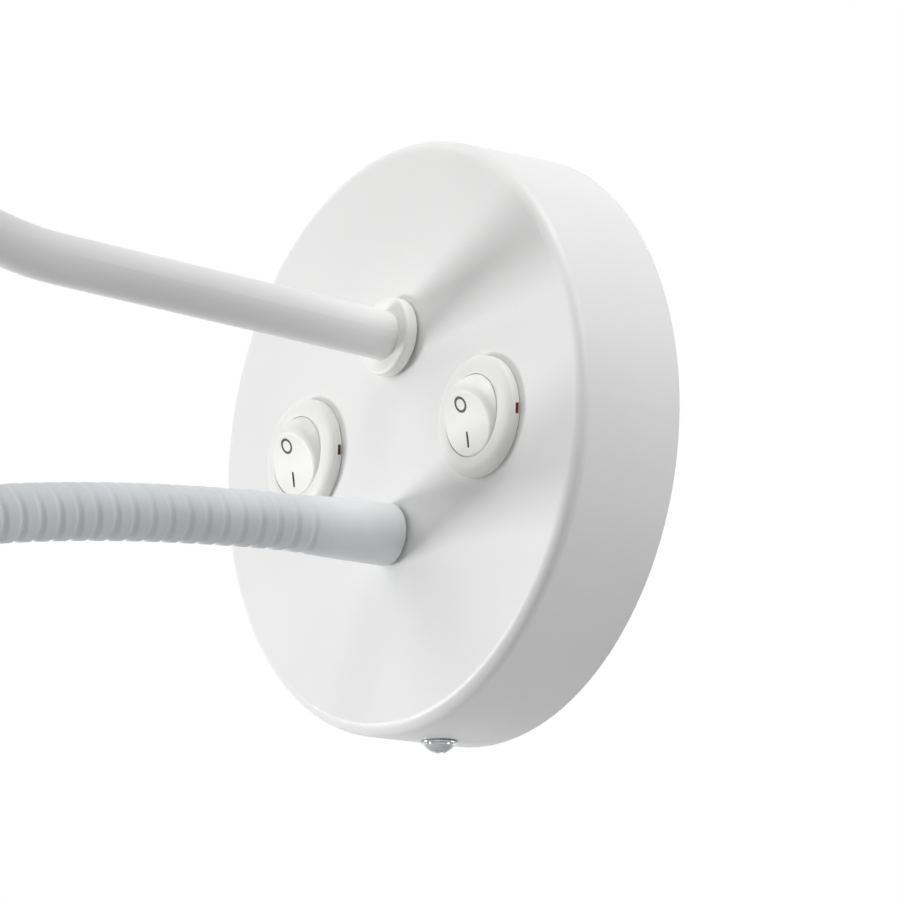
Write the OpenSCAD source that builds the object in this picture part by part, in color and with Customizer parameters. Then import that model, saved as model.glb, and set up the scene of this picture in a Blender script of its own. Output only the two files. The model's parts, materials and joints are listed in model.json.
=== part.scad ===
// Bedside wall light: a round wall canopy with two rocker switches, a bent tube arm that
// carries a drum shade, and a flexible ribbed neck that carries a small reading head.
// The wall is the plane y = 0, the light stands out along -Y, +X is right and +Z is up.

/* [Canopy] */
// Outside diameter of the round cover
canopy_d = 120; // [112:1:140]
// How far the cover stands off the wall
canopy_depth = 24.5; // [24:0.5:32]
// Sheet thickness of the cover
canopy_wall = 1.2; // [0.8:0.1:1.8]
// Outside radius of the rounded front edge
canopy_edge_r = 2.6; // [2:0.1:5]

/* [Wall bracket] */
// Sheet thickness of the bracket
bracket_t = 2; // [1.5:0.5:3]
// Width of the upright strap
strap_w = 40; // [38:1:44]
// Length of the cross strap
cross_w = 92; // [86:1:100]
// Height of the cross strap
cross_h = 22; // [20:1:26]
// Distance between the middles of the two wall slots
slot_spacing = 70; // [60:1:74]
// Width of a wall slot
slot_w = 5; // [4:0.5:6]
// Length of a wall slot from end to end
slot_len = 12; // [8:1:14]
// Diameter of the hole that the wall cable comes through
cable_hole_d = 16; // [12:1:18]
// Bore of the rubber grommet in that hole
grommet_bore_d = 8; // [6:0.5:9]
// Width of the bent tabs at top and bottom
tab_w = 16; // [12:1:18]
// How far the upper hook tab reaches out from the wall
hook_reach = 15; // [13:0.5:17]

/* [Cover screw] */
// Thread diameter of the cover screw
screw_d = 4; // [3:0.5:5]
// Diameter of the flange under the domed screw head
screw_head_d = 7.4; // [7:0.1:9]
// Height of the screw head with its flange
screw_head_h = 2.5; // [1.8:0.1:3.2]
// Distance of the cover screw from the wall
screw_h = 11.6; // [9:0.1:13]
// Length of the cover screw under its head
screw_len = 9; // [8:0.5:11]

/* [Switches] */
// Distance of each switch from the middle of the cover
switch_x = 29.4; // [28:0.1:34]
// Drop of both switches below the middle of the cover
switch_drop = 0.3; // [0:0.1:2]
// Outside diameter of the switch flange
flange_d = 23.8; // [22.5:0.1:25]
// Thickness of the flange at its edge
flange_edge = 1.4; // [0.8:0.1:1.6]
// How far the bezel rim stands off the cover
rim_h = 2.8; // [2.6:0.1:3.6]
// Diameter of the bezel opening
bezel_open_d = 16.6; // [15.6:0.1:17]
// Diameter of the switch body behind the cover
switch_body_d = 20.2; // [20:0.1:21]
// Depth of the switch body behind the cover face
switch_body_depth = 12.5; // [11.5:0.5:13.5]
// Depth of the rocker's pivot behind the cover face
pivot_depth = 1.1; // [0.9:0.1:1.4]
// Diameter of the rocker's pivot pins
pivot_d = 2; // [1.6:0.1:2.2]
// Lean of the rocker each way
rocker_tilt = 16; // [12:0.5:17]
// Distance from the pivot to the ends of the rocker's face
rocker_face = 5.8; // [5.4:0.1:6.6]
// Radius of the hollow finger face
dish_r = 30; // [26:1:40]
// Depth of the hollow finger face
dish_depth = 0.7; // [0.4:0.1:0.8]

/* [Arm] */
// Height of the arm above the middle of the cover
arm_v = 20; // [18:0.5:22]
// Outside diameter of the arm tube
tube_d = 10; // [9:0.5:11]
// Wall of the arm tube
tube_wall = 1; // [0.8:0.1:1.5]
// Upward rake of the arm where it leaves the cover
arm_rake = 3; // [1:0.5:4]
// Straight run of the arm from the cover to its bend
arm_run = 80; // [70:1:100]
// Radius of the bend, at the middle of the tube
arm_bend_r = 70; // [50:1:80]
// Length of the threaded nipple above the bend
arm_rise = 10; // [9:1:40]
// Length of the threaded arm end behind the cover
arm_tail = 11; // [10:0.5:12]
// Diameter of the collar on the arm
collar_d = 16; // [14.5:0.5:18]
// Thickness of the collar
collar_t = 2.5; // [2:0.1:3.5]

/* [Shade and lamp] */
// Outside diameter of the drum shade
shade_d = 160; // [130:1:180]
// Height of the drum shade
shade_h = 120; // [110:1:150]
// Thickness of the lined fabric
shade_wall = 0.8; // [0.6:0.1:1.2]
// Diameter of the shade wire
wire_d = 3; // [2.5:0.1:4]
// Outside diameter of the lampholder body
holder_d = 27; // [26:0.5:30]
// Height of the lampholder body
holder_h = 32; // [30:1:36]
// Diameter of the lamp cap
cap_d = 13.9; // [13.5:0.1:14.2]
// Length of the lamp cap
cap_len = 18; // [16:1:20]
// Diameter of the lamp globe
globe_d = 45; // [40:1:50]

/* [Flexible neck] */
// Drop of the neck below the middle of the cover
neck_drop = 20; // [18:0.5:22]
// Length of the smooth sleeve at the cover
sleeve_len = 21.5; // [18:0.5:24]
// Diameter of the sleeve at the cover
sleeve_base_d = 12.6; // [12.5:0.1:14]
// Diameter of the sleeve at its mouth
sleeve_tip_d = 12.3; // [12.2:0.1:13]
// Diameter of the hose over its ribs
hose_d = 11.5; // [11:0.1:11.6]
// Depth of the groove between two ribs
rib_depth = 0.25; // [0.15:0.05:0.5]
// Distance from rib to rib
rib_pitch = 4.2; // [3.8:0.1:4.6]
// Bore of the hose
hose_bore_d = 8.8; // [8.2:0.1:9.2]
// Diameter of the wound steel core
core_d = 7.2; // [6.8:0.1:7.4]
// Bore of the wound steel core
core_bore_d = 4.4; // [3.6:0.1:5]
// Diameter of the hollow stud that holds the neck
stud_d = 8; // [7.5:0.1:8.2]

/* [Reading head] */
// Outside diameter of the reading head
head_d = 32; // [30:1:36]
// Length of the reading head's shell
head_len = 52; // [50:1:60]
// Wall of the reading head's shell
head_wall = 1.5; // [1.2:0.1:2]
// Radius of the rounded back edge of the head
head_edge_r = 4; // [2:0.5:5]

/* [Hidden] */
$fn = 96;

// Overrun of a cutter past the face that it cuts
cut = 1;
// Radial clearance of a pushed or threaded fit
fit = 0.03;
// Clearance of a loose fit
loose = 0.2;
// Across-flats size over across-corners size of a hexagon
hex_ratio = cos(30);

// Cover and bracket
canopy_r = canopy_d / 2;
canopy_in_r = canopy_r - canopy_wall;
canopy_in_h = canopy_depth - canopy_wall;
strap_inset = 6.8;
strap_v = canopy_in_r - strap_inset;
low_tab_gap = 1.3;
low_tab_v = canopy_in_r - low_tab_gap;
low_tab_margin = 6.2;
screw_boss_d = 8;
screw_boss_h = 3;
hook_drop = 3.8;
hook_v = canopy_in_r - hook_drop;
hook_clear = 0.5;
clip_t = 1;
clip_w = 12;
clip_len = 8;
clip_top_v = sqrt(pow(canopy_in_r, 2) - pow(clip_w / 2, 2)) - fit;
clip_v = clip_top_v - clip_t;
clip_h = hook_reach - bracket_t - hook_clear - clip_t;
grommet_flange = 2;

// Parts on the bracket
earth_x = 15;
earth_v = 18;
earth_thread_d = 3;
earth_head_d = 7;
earth_head_h = 2.4;
block_w = 30;
block_h = 13;
block_len = 16;
block_gap = 2;
block_v = strap_v - block_gap - block_len;
pole_pitch = 10;
pole_hump_w = 7.6;
pole_hump_h = 2;
wire_hole_d = 3.2;
clamp_screw_d = 3.6;
clamp_screw_depth = 4.5;
clamp_screw_spread = 8;
driver_w = 38;
driver_len = 20;
driver_h = 13;
driver_r = 2;
driver_gap = 1.5;
driver_v = low_tab_v - bracket_t - screw_boss_h - driver_gap;

// Cover screw
screw_flange = 0.7;
screw_dome_d = 6.2;
screw_slot_w = 0.9;
screw_slot_len = 4.2;
screw_slot_depth = 1.2;

// Switches: heights are measured outward from the cover face
rocker_gap = 0.25;
rim_over_pivot = rim_h + pivot_depth;
rocker_r = sqrt(pow(bezel_open_d / 2 - rocker_gap, 2) + pow(rim_over_pivot, 2));
rocker_skirt = rim_over_pivot * cos(rocker_tilt) - bezel_open_d / 2 * sin(rocker_tilt) - rocker_gap;
rocker_stem_d = 11.8;
rocker_stem_drop = 1.5;
switch_cavity_r = rocker_r + rocker_gap;
rim_land = 1.2;
rim_round = 0.3;
edge_taper = 0.15;
bezel_dome_in = 0.8;
bezel_dome_drop = 0.55;
bezel_dome_r = flange_d / 2 - bezel_dome_in;
bezel_dome_h = rim_h - bezel_dome_drop;
switch_floor = 2;
boss_wall = 0.4;
boss_d = pivot_d + 2 * fit + 2 * boss_wall;
boss_reach = 2.6;
pin_reach = 0.5;
notch_w = 2.1;
notch_h = 0.6;
notch_up = 0.3;
notch_depth = 1.2;
contact_t = 0.7;
contact_w = 4;
contact_len = 11;
contact_gap = 0.4;
blade_t = 0.8;
blade_w = 4.8;
blade_len = 7;
blade_offset = 5;
pad_w = 2.4;

// Arm
tube_r = tube_d / 2;
tube_bore_d = tube_d - 2 * tube_wall;
collar_chamfer = 0.45;
collar_lift = collar_d / 2 * sin(arm_rake) + fit;
arm_hole_play = 1.2;
arm_hole_d = tube_d + arm_hole_play;
arm_washer_d = 18;
arm_washer_t = 1.2;
arm_washer_h = canopy_wall / cos(arm_rake) + arm_washer_d / 2 * sin(arm_rake) + fit;
arm_nut_af = 14;
arm_nut_t = 3.5;
arm_end_v = arm_v + arm_run * sin(arm_rake) + arm_bend_r * cos(arm_rake) + arm_rise;
arm_end_h = canopy_depth + arm_run * cos(arm_rake) - arm_bend_r * sin(arm_rake) + arm_bend_r;

// Lampholder, lamp and shade: heights are measured up from the top of the arm
holder_cap_drop = 8;
holder_cap_waist_d = 16;
holder_cap_wall = 2;
holder_cap_skirt = 8;
holder_seat = 14;
holder_flange_d = 34;
holder_flange_t = 3;
holder_floor = 3;
shell_wall = 0.4;
shell_gap = 2;
bulb_gap = 0.5;
cap_fit = 0.2;
cap_tip_d = 5;
cap_tip_h = 1.8;
contact_hole_d = 3;
contact_cap_d = 6;
contact_cap_t = 1.5;
hub_t = 2;
hub_d = 40;
clamp_ring_h = 7;
clamp_ring_d = 38;
shade_r = shade_d / 2;
shade_in_r = shade_r - shade_wall;
wire_ring_r = shade_in_r - wire_d / 2 - fit;
shade_hem = 4;
spoke_count = 3;
spoke_d = 1.8;
seat_top = holder_seat + holder_flange_t;
holder_top = holder_seat + holder_h;
bulb_base = holder_top + bulb_gap;
cap_base = bulb_base - cap_len;
contact_base = seat_top + holder_floor;
bulb_body_h = 24;
bulb_body_w = 38;
bulb_neck_d = 17;
globe_wall = 1.2;
globe_seat = sqrt(pow(globe_d / 2, 2) - pow(bulb_body_w / 2, 2));
globe_mid = bulb_base + bulb_body_h + globe_seat;

// Neck: seven links from the sleeve to the head, each a plain arc in the upright middle plane
link_count = 7;
link_turns = [3, 3.7, 5, 13, 14.5, 13, 0];
sleeve_chamfer = 0.7;
sleeve_ribs = 3;
first_ribs = 4;
link_ribs = 8;
hose_sides = 8;
hose_gap = 0.3;
core_gap = 2;
hose_start_h = canopy_depth + sleeve_len - sleeve_ribs * rib_pitch;
hose_fit = 0.1;
sleeve_bore_d = hose_d + hose_fit;
neck_washer_d = 17;
neck_washer_t = 1;
neck_nut_af = 13;
neck_nut_t = 4;
stud_tail = 11;

// Reading head: lengths are measured forward from the end of the hose
ferrule_plug = 6;
ferrule_spigot = 6;
ferrule_spigot_d = 8;
head_in_r = head_d / 2 - head_wall;
head_back_t = 2.5;
sink_fit = 0.1;
sink_neck_d = 16;
sink_start = 8;
sink_len = 14;
sink_fin_w = 2;
sink_fin_depth = 6;
sink_fins = 12;
sink_wire_d = 3;
board_d = 22;
board_t = 1.6;
chip_w = 5;
chip_t = 0.7;
chip_dome_d = 3.6;
lens_throat_d = 10.4;
lens_pocket_d = 8;
lens_pocket_h = 5;
lens_rim_t = 3;
bezel_lip = 1.6;
bezel_front_t = 1.5;
bezel_depth = 6;
sink_h = ferrule_plug + head_back_t + sink_start;
board_h = sink_h + sink_len;
lens_h = board_h + board_t;
bezel_h = ferrule_plug + head_len;

function turn_rad(turn) = turn * PI / 180;
// Distance forward, and distance sideways, over a stretch of arc that turns evenly
function arc_forward(len, turn) = turn == 0 ? len : len * sin(turn) / turn_rad(turn);
function arc_drop(len, turn) = turn == 0 ? 0 : len * (1 - cos(turn)) / turn_rad(turn);

// Straight lead, ribs and length of a neck link; the first starts inside the sleeve
function link_lead(i) = i == 0 ? sleeve_ribs * rib_pitch : 0;
function ribs_of(i) = i == 0 ? sleeve_ribs + first_ribs : link_ribs;
function link_len(i) = ribs_of(i) * rib_pitch;
function bend_len(i) = link_len(i) - link_lead(i);
// Downward slope of the neck at the start of a link
function link_slope(i) = i == 0 ? 0 : link_slope(i - 1) + link_turns[i - 1];
// Start of a link as height above the middle and distance from the wall
function link_start(i) = i == 0
    ? [-neck_drop, hose_start_h]
    : let (
        slope = link_slope(i - 1),
        forward = link_lead(i - 1) + arc_forward(bend_len(i - 1), link_turns[i - 1]),
        drop = arc_drop(bend_len(i - 1), link_turns[i - 1]),
        down = sin(slope) * forward + cos(slope) * drop,
        out = cos(slope) * forward - sin(slope) * drop
    ) link_start(i - 1) + [-down, out];

// One ring of hose points at a distance s along link i, in that link's own frame
function hose_ring(i, s, r) = let (
    along = max(s - link_lead(i), 0),
    turn = link_turns[i] * along / bend_len(i),
    y = -arc_drop(along, turn),
    z = min(s, link_lead(i)) + arc_forward(along, turn)
) [for (k = [0 : hose_sides - 1]) let (a = 360 * (k + 0.5) / hose_sides)
    [r * cos(a), y + r * sin(a) * cos(turn), z + r * sin(a) * sin(turn)]];

// Stations along a link, two to a rib, set back a little at both ends
function hose_stations(i) = [for (j = [0 : 2 * ribs_of(i)])
    min(max(j * rib_pitch / 2, hose_gap / 2), link_len(i) - hose_gap / 2)];

// Draw with x to the right, y up and z out of the wall
module outward() {
    rotate([90, 0, 0]) children();
}

// Draw at a switch, with z out of the cover face
module at_switch(side) {
    outward() translate([side * switch_x, -switch_drop, canopy_depth]) children();
}

// Draw at a rocker, leaning to its pressed end, with z towards its face
module at_rocker(side) {
    at_switch(side) translate([0, 0, -pivot_depth]) rotate([rocker_tilt, 0, 0]) children();
}

// Draw along the arm, with z along its raked run
module along_arm() {
    outward() translate([0, arm_v, canopy_depth]) rotate([-arm_rake, 0, 0]) children();
}

// Draw above the arm, with z up from the top of its tube
module above_arm() {
    outward() translate([0, arm_end_v, arm_end_h]) rotate([-90, 0, 0]) children();
}

// Draw at the start of a neck link, with z along the neck
module along_neck(i) {
    outward() translate([0, link_start(i)[0], link_start(i)[1]]) rotate([link_slope(i), 0, 0]) children();
}

module ring(d, bore, h) {
    difference() {
        cylinder(d = d, h = h);
        translate([0, 0, -cut]) cylinder(d = bore, h = h + 2 * cut);
    }
}

module hex_nut(af, bore, h) {
    difference() {
        cylinder(d = af / hex_ratio, h = h, $fn = 6);
        translate([0, 0, -cut]) cylinder(d = bore, h = h + 2 * cut);
    }
}

// A box on the wall side, centred across, from its lower edge upward
module wall_box(w, v0, v1, h0, h1) {
    translate([-w / 2, v0, h0]) cube([w, v1 - v0, h1 - h0]);
}

// A round cup with a rounded front edge
module cup(r, h, edge) {
    rotate_extrude() {
        square([r - edge, h]);
        square([r, h - edge]);
        translate([r - edge, h - edge]) intersection() {
            circle(edge);
            square(edge);
        }
    }
}

module canopy() {
    color("white") outward() difference() {
        cup(canopy_r, canopy_depth, canopy_edge_r);
        translate([0, 0, -cut]) cup(canopy_in_r, canopy_in_h + cut, canopy_edge_r - canopy_wall);
        for (side = [-1, 1])
            translate([side * switch_x, -switch_drop, 0])
                cylinder(d = switch_body_d + loose, h = canopy_depth + cut);
        translate([0, arm_v, 0]) cylinder(d = arm_hole_d, h = canopy_depth + cut);
        translate([0, -neck_drop, 0]) cylinder(d = stud_d + loose, h = canopy_depth + cut);
        translate([0, -canopy_in_r + cut, screw_h])
            rotate([90, 0, 0]) cylinder(d = screw_d + loose, h = canopy_wall + 2 * cut);
    }
}

module slot_hole() {
    reach = (slot_len - slot_w) / 2;
    for (side = [-1, 1])
        translate([side * reach, 0, -cut]) cylinder(d = slot_w, h = bracket_t + 2 * cut);
    translate([-reach, -slot_w / 2, -cut]) cube([2 * reach, slot_w, bracket_t + 2 * cut]);
}

module wall_bracket() {
    low_tab_reach = screw_h + low_tab_margin;
    color("lightgray") outward() difference() {
        union() {
            wall_box(strap_w, -strap_v, strap_v, 0, bracket_t);
            wall_box(cross_w, -cross_h / 2, cross_h / 2, 0, bracket_t);
            wall_box(tab_w, -low_tab_v, -strap_v, 0, bracket_t);
            wall_box(tab_w, -low_tab_v, -low_tab_v + bracket_t, 0, low_tab_reach);
            translate([0, -low_tab_v + bracket_t, screw_h])
                rotate([-90, 0, 0]) cylinder(d = screw_boss_d, h = screw_boss_h);
            wall_box(tab_w, strap_v, hook_v, 0, bracket_t);
            wall_box(tab_w, hook_v - bracket_t, hook_v, 0, hook_reach);
            wall_box(tab_w, hook_v - bracket_t, clip_v - hook_clear, hook_reach - bracket_t, hook_reach);
        }
        translate([0, 0, -cut]) cylinder(d = cable_hole_d, h = bracket_t + 2 * cut);
        for (side = [-1, 1])
            translate([side * slot_spacing / 2, 0, 0]) slot_hole();
        translate([earth_x, earth_v, -cut]) cylinder(d = earth_thread_d + 2 * fit, h = bracket_t + 2 * cut);
        translate([0, -low_tab_v - cut, screw_h])
            rotate([-90, 0, 0]) cylinder(d = screw_d + 2 * fit, h = bracket_t + screw_boss_h + 2 * cut);
    }
}

module earth_screw() {
    color("goldenrod") outward() translate([earth_x, earth_v, 0]) difference() {
        union() {
            cylinder(d = earth_thread_d, h = bracket_t + cut);
            translate([0, 0, bracket_t]) cylinder(d = earth_head_d, h = earth_head_h);
        }
        translate([-earth_head_d / 2 - cut, -screw_slot_w / 2, bracket_t + earth_head_h - screw_slot_depth])
            cube([earth_head_d + 2 * cut, screw_slot_w, screw_slot_depth + cut]);
    }
}

module cable_grommet() {
    color("dimgray") outward() difference() {
        union() {
            cylinder(d = cable_hole_d - 2 * fit, h = bracket_t + cut);
            translate([0, 0, bracket_t]) cylinder(d = cable_hole_d + 2 * grommet_flange, h = grommet_flange);
        }
        translate([0, 0, -cut]) cylinder(d = grommet_bore_d, h = bracket_t + grommet_flange + 2 * cut);
    }
}

// Places of the six clamp screws in the terminal block
module at_clamp_screws() {
    for (pole = [-1 : 1], end = [-1, 1])
        translate([pole * pole_pitch, block_v + block_len / 2 + end * clamp_screw_spread / 2,
            bracket_t + block_h + pole_hump_h - clamp_screw_depth])
            children();
}

module terminal_block() {
    color("whitesmoke") outward() difference() {
        union() {
            wall_box(block_w, block_v, block_v + block_len, bracket_t, bracket_t + block_h);
            for (pole = [-1 : 1])
                translate([pole * pole_pitch, 0, bracket_t + block_h])
                    wall_box(pole_hump_w, block_v, block_v + block_len, 0, pole_hump_h);
        }
        at_clamp_screws() cylinder(d = clamp_screw_d + 2 * fit, h = clamp_screw_depth + cut);
        for (pole = [-1 : 1])
            translate([pole * pole_pitch, block_v - cut, bracket_t + block_h / 2])
                rotate([-90, 0, 0]) cylinder(d = wire_hole_d, h = block_len + 2 * cut);
    }
}

module terminal_screws() {
    color("silver") outward() at_clamp_screws() difference() {
        cylinder(d = clamp_screw_d, h = clamp_screw_depth - loose);
        translate([-clamp_screw_d, -screw_slot_w / 2, clamp_screw_depth - loose - screw_slot_depth])
            cube([2 * clamp_screw_d, screw_slot_w, screw_slot_depth + cut]);
    }
}

module led_driver() {
    color("gainsboro") outward() translate([0, -driver_v, bracket_t]) {
        wall_box(driver_w - 2 * driver_r, 0, driver_len, 0, driver_h);
        wall_box(driver_w, driver_r, driver_len - driver_r, 0, driver_h);
        for (side = [-1, 1], v = [driver_r, driver_len - driver_r])
            translate([side * (driver_w / 2 - driver_r), v, 0]) cylinder(r = driver_r, h = driver_h);
    }
}

module hanging_clip() {
    color("lightgray") outward() {
        wall_box(clip_w, clip_v, clip_top_v, clip_h, clip_h + clip_len);
        wall_box(clip_w, hook_v + hook_clear, clip_top_v, clip_h, clip_h + clip_t);
    }
}

module cover_screw() {
    dome_h = screw_head_h - screw_flange;
    dome_r = (pow(screw_dome_d / 2, 2) + pow(dome_h, 2)) / (2 * dome_h);
    color("silver") outward() translate([0, -canopy_r - fit, screw_h]) rotate([90, 0, 0]) difference() {
        union() {
            cylinder(d = screw_head_d, h = screw_flange);
            intersection() {
                translate([0, 0, screw_head_h - dome_r]) sphere(r = dome_r);
                cylinder(d = screw_dome_d, h = screw_head_h);
            }
            translate([0, 0, -screw_len]) cylinder(d = screw_d, h = screw_len + screw_flange / 2);
        }
        for (turn = [0, 90])
            rotate([0, 0, turn])
                translate([-screw_slot_len / 2, -screw_slot_w / 2, screw_head_h - screw_slot_depth])
                    cube([screw_slot_len, screw_slot_w, screw_slot_depth + cut]);
    }
}

// Bezel and body of a switch, turned round the switch's own axis
module switch_profile() {
    open_r = bezel_open_d / 2;
    polygon([
        [0, -switch_body_depth],
        [switch_body_d / 2, -switch_body_depth],
        [switch_body_d / 2, 0],
        [flange_d / 2, 0],
        [flange_d / 2 - edge_taper, flange_edge],
        [bezel_dome_r, bezel_dome_h],
        [open_r + rim_land + rim_round, rim_h - rim_round],
        [open_r + rim_land, rim_h],
        [0, rim_h]
    ]);
}

module switch_housing(side) {
    boss_len = boss_reach + (switch_body_d / 2 - switch_cavity_r) / 2;
    color("white") at_switch(side) difference() {
        union() {
            difference() {
                rotate_extrude() switch_profile();
                translate([0, 0, -pivot_depth]) sphere(r = switch_cavity_r);
                translate([0, 0, switch_floor - switch_body_depth])
                    cylinder(r = switch_cavity_r, h = switch_body_depth - switch_floor - pivot_depth);
                for (turn = [0, 180])
                    rotate([0, 0, turn]) translate([flange_d / 2 - notch_depth, -notch_w / 2, notch_up])
                        cube([notch_depth + cut, notch_w, notch_h]);
                for (place = [-blade_offset, 0])
                    translate([-blade_w / 2 - loose, place - blade_t / 2 - loose, -switch_body_depth - cut])
                        cube([blade_w + 2 * loose, blade_t + 2 * loose, switch_floor + 2 * cut]);
            }
            for (turn = [0, 180])
                rotate([0, 0, turn]) translate([switch_cavity_r - boss_reach, 0, -pivot_depth])
                    rotate([0, 90, 0]) cylinder(d = boss_d, h = boss_len);
        }
        translate([-switch_cavity_r, 0, -pivot_depth])
            rotate([0, 90, 0]) cylinder(d = pivot_d + 2 * fit, h = 2 * switch_cavity_r);
    }
}

// Two contact blades: the switched one under the pressed end and the common one in the middle
module switch_terminals(side) {
    blade_foot = -switch_body_depth - blade_len;
    common_top = -pivot_depth - rocker_stem_drop - contact_t - contact_gap;
    switched_drop = (rocker_stem_drop + contact_t) * cos(rocker_tilt) + contact_len / 2 * sin(rocker_tilt);
    switched_top = -pivot_depth - switched_drop - contact_gap;
    color("goldenrod") at_switch(side) {
        translate([-blade_w / 2, -blade_t / 2, blade_foot])
            cube([blade_w, blade_t, common_top - blade_foot]);
        translate([-blade_w / 2, -blade_offset - blade_t / 2, blade_foot])
            cube([blade_w, blade_t, switched_top - blade_foot]);
        translate([-contact_w / 2, -blade_offset - pad_w / 2, switched_top - contact_t])
            cube([contact_w, pad_w, contact_t]);
    }
}

module rocker(side) {
    pin_r = switch_cavity_r - pin_reach;
    color("white") at_rocker(side) {
        difference() {
            intersection() {
                sphere(r = rocker_r);
                translate([0, 0, rocker_skirt]) cylinder(r = rocker_r + cut, h = rocker_face - rocker_skirt);
            }
            translate([-rocker_r - cut, 0, rocker_face + dish_r - dish_depth])
                rotate([0, 90, 0]) cylinder(r = dish_r, h = 2 * (rocker_r + cut));
            for (turn = [0, 180])
                rotate([0, 0, turn]) translate([switch_cavity_r - boss_reach - rocker_gap, 0, 0])
                    rotate([0, 90, 0]) cylinder(d = boss_d + 2 * rocker_gap, h = boss_reach + 2 * rocker_gap);
        }
        translate([0, 0, -rocker_stem_drop])
            cylinder(d = rocker_stem_d, h = rocker_stem_drop + rocker_skirt + cut);
        translate([-pin_r, 0, 0]) rotate([0, 90, 0]) cylinder(d = pivot_d, h = 2 * pin_r);
    }
}

module rocker_contact(side) {
    color("goldenrod") at_rocker(side)
        translate([-contact_w / 2, -contact_len / 2, -rocker_stem_drop - contact_t])
            cube([contact_w, contact_len, contact_t]);
}

module arm_tube() {
    color("white") along_arm() {
        translate([0, 0, -arm_tail]) ring(tube_d, tube_bore_d, arm_tail + arm_run);
        translate([0, arm_bend_r, arm_run]) rotate([0, -90, 0]) rotate([0, 0, -90])
            rotate_extrude(angle = 90 - arm_rake) translate([arm_bend_r, 0]) difference() {
                circle(d = tube_d);
                circle(d = tube_bore_d);
            }
    }
}

module arm_nipple() {
    color("silver") above_arm() translate([0, 0, -arm_rise]) ring(tube_d, tube_bore_d, arm_rise);
}

module arm_collar() {
    color("whitesmoke") along_arm() translate([0, 0, collar_lift]) difference() {
        rotate_extrude() polygon([
            [0, 0],
            [collar_d / 2 - collar_chamfer, 0],
            [collar_d / 2, collar_chamfer],
            [collar_d / 2, collar_t - collar_chamfer],
            [collar_d / 2 - collar_chamfer, collar_t],
            [0, collar_t]
        ]);
        translate([0, 0, -cut]) cylinder(d = tube_d + 2 * fit, h = collar_t + 2 * cut);
    }
}

module arm_washer() {
    color("silver") along_arm() translate([0, 0, -arm_washer_h - arm_washer_t])
        ring(arm_washer_d, tube_d + 2 * fit, arm_washer_t);
}

module arm_nut() {
    color("silver") along_arm() translate([0, 0, -arm_washer_h - arm_washer_t - arm_nut_t])
        hex_nut(arm_nut_af, tube_d + 2 * fit, arm_nut_t);
}

module holder_cap() {
    color("white") above_arm() rotate_extrude() polygon([
        [tube_r + fit, -holder_cap_drop],
        [holder_cap_waist_d / 2, -holder_cap_drop],
        [holder_d / 2, holder_seat - holder_cap_skirt],
        [holder_d / 2, holder_seat],
        [holder_d / 2 - holder_cap_wall, holder_seat],
        [holder_d / 2 - holder_cap_wall, holder_seat - holder_cap_skirt],
        [tube_r + fit, 0]
    ]);
}

module holder_body() {
    shell_r = cap_d / 2 + cap_fit + shell_wall + fit;
    color("white") above_arm() difference() {
        union() {
            translate([0, 0, holder_seat]) cylinder(d = holder_flange_d, h = holder_flange_t);
            translate([0, 0, holder_seat]) cylinder(d = holder_d, h = holder_h);
        }
        translate([0, 0, contact_base]) cylinder(r = shell_r, h = holder_h + cut);
        translate([0, 0, holder_seat - cut])
            cylinder(d = contact_hole_d + 2 * fit, h = holder_flange_t + holder_floor + 2 * cut);
    }
}

module holder_shell() {
    bore = cap_d + 2 * cap_fit;
    color("goldenrod") above_arm() translate([0, 0, contact_base])
        ring(bore + 2 * shell_wall, bore, holder_h - holder_flange_t - holder_floor - shell_gap);
}

module holder_contact() {
    color("goldenrod") above_arm() {
        translate([0, 0, holder_seat]) cylinder(d = contact_hole_d, h = holder_flange_t + holder_floor + cut);
        translate([0, 0, contact_base]) cylinder(d = contact_cap_d, h = contact_cap_t);
        translate([0, 0, contact_base + contact_cap_t])
            cylinder(d = contact_hole_d, h = cap_base - cap_tip_h - contact_base - contact_cap_t - fit);
    }
}

module bulb_cap() {
    color("silver") above_arm() translate([0, 0, cap_base]) {
        translate([0, 0, -cap_tip_h]) cylinder(d1 = cap_tip_d, d2 = cap_d, h = cap_tip_h);
        cylinder(d = cap_d, h = cap_len);
    }
}

module bulb_body() {
    color("white") above_arm() translate([0, 0, bulb_base])
        cylinder(d1 = bulb_neck_d, d2 = bulb_body_w, h = bulb_body_h);
}

module bulb_globe() {
    color("ivory") above_arm() translate([0, 0, globe_mid]) difference() {
        sphere(d = globe_d);
        sphere(d = globe_d - 2 * globe_wall);
        translate([0, 0, -globe_seat - globe_d]) cylinder(d = globe_d + cut, h = globe_d + fit);
    }
}

module shade_clamp_ring() {
    color("white") above_arm() translate([0, 0, seat_top + hub_t])
        ring(clamp_ring_d, holder_d + 2 * fit, clamp_ring_h);
}

module wire_ring() {
    rotate_extrude() translate([wire_ring_r, 0]) circle(d = wire_d);
}

module shade_frame() {
    hub_bore = holder_d + 2 * loose;
    color("white") above_arm() translate([0, 0, seat_top]) {
        ring(hub_d, hub_bore, hub_t);
        translate([0, 0, hub_t / 2]) {
            wire_ring();
            for (k = [0 : spoke_count - 1])
                rotate([0, 0, 90 + 360 * k / spoke_count]) translate([hub_d / 2 - hub_t, 0, 0])
                    rotate([0, 90, 0]) cylinder(d = spoke_d, h = wire_ring_r - hub_d / 2 + hub_t);
        }
    }
}

module shade_top_ring() {
    color("white") above_arm() translate([0, 0, seat_top + hub_t / 2 + shade_h - 2 * shade_hem]) wire_ring();
}

module shade_skin() {
    color("ivory") above_arm() translate([0, 0, seat_top + hub_t / 2 - shade_hem])
        ring(shade_d, 2 * shade_in_r, shade_h);
}

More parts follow.
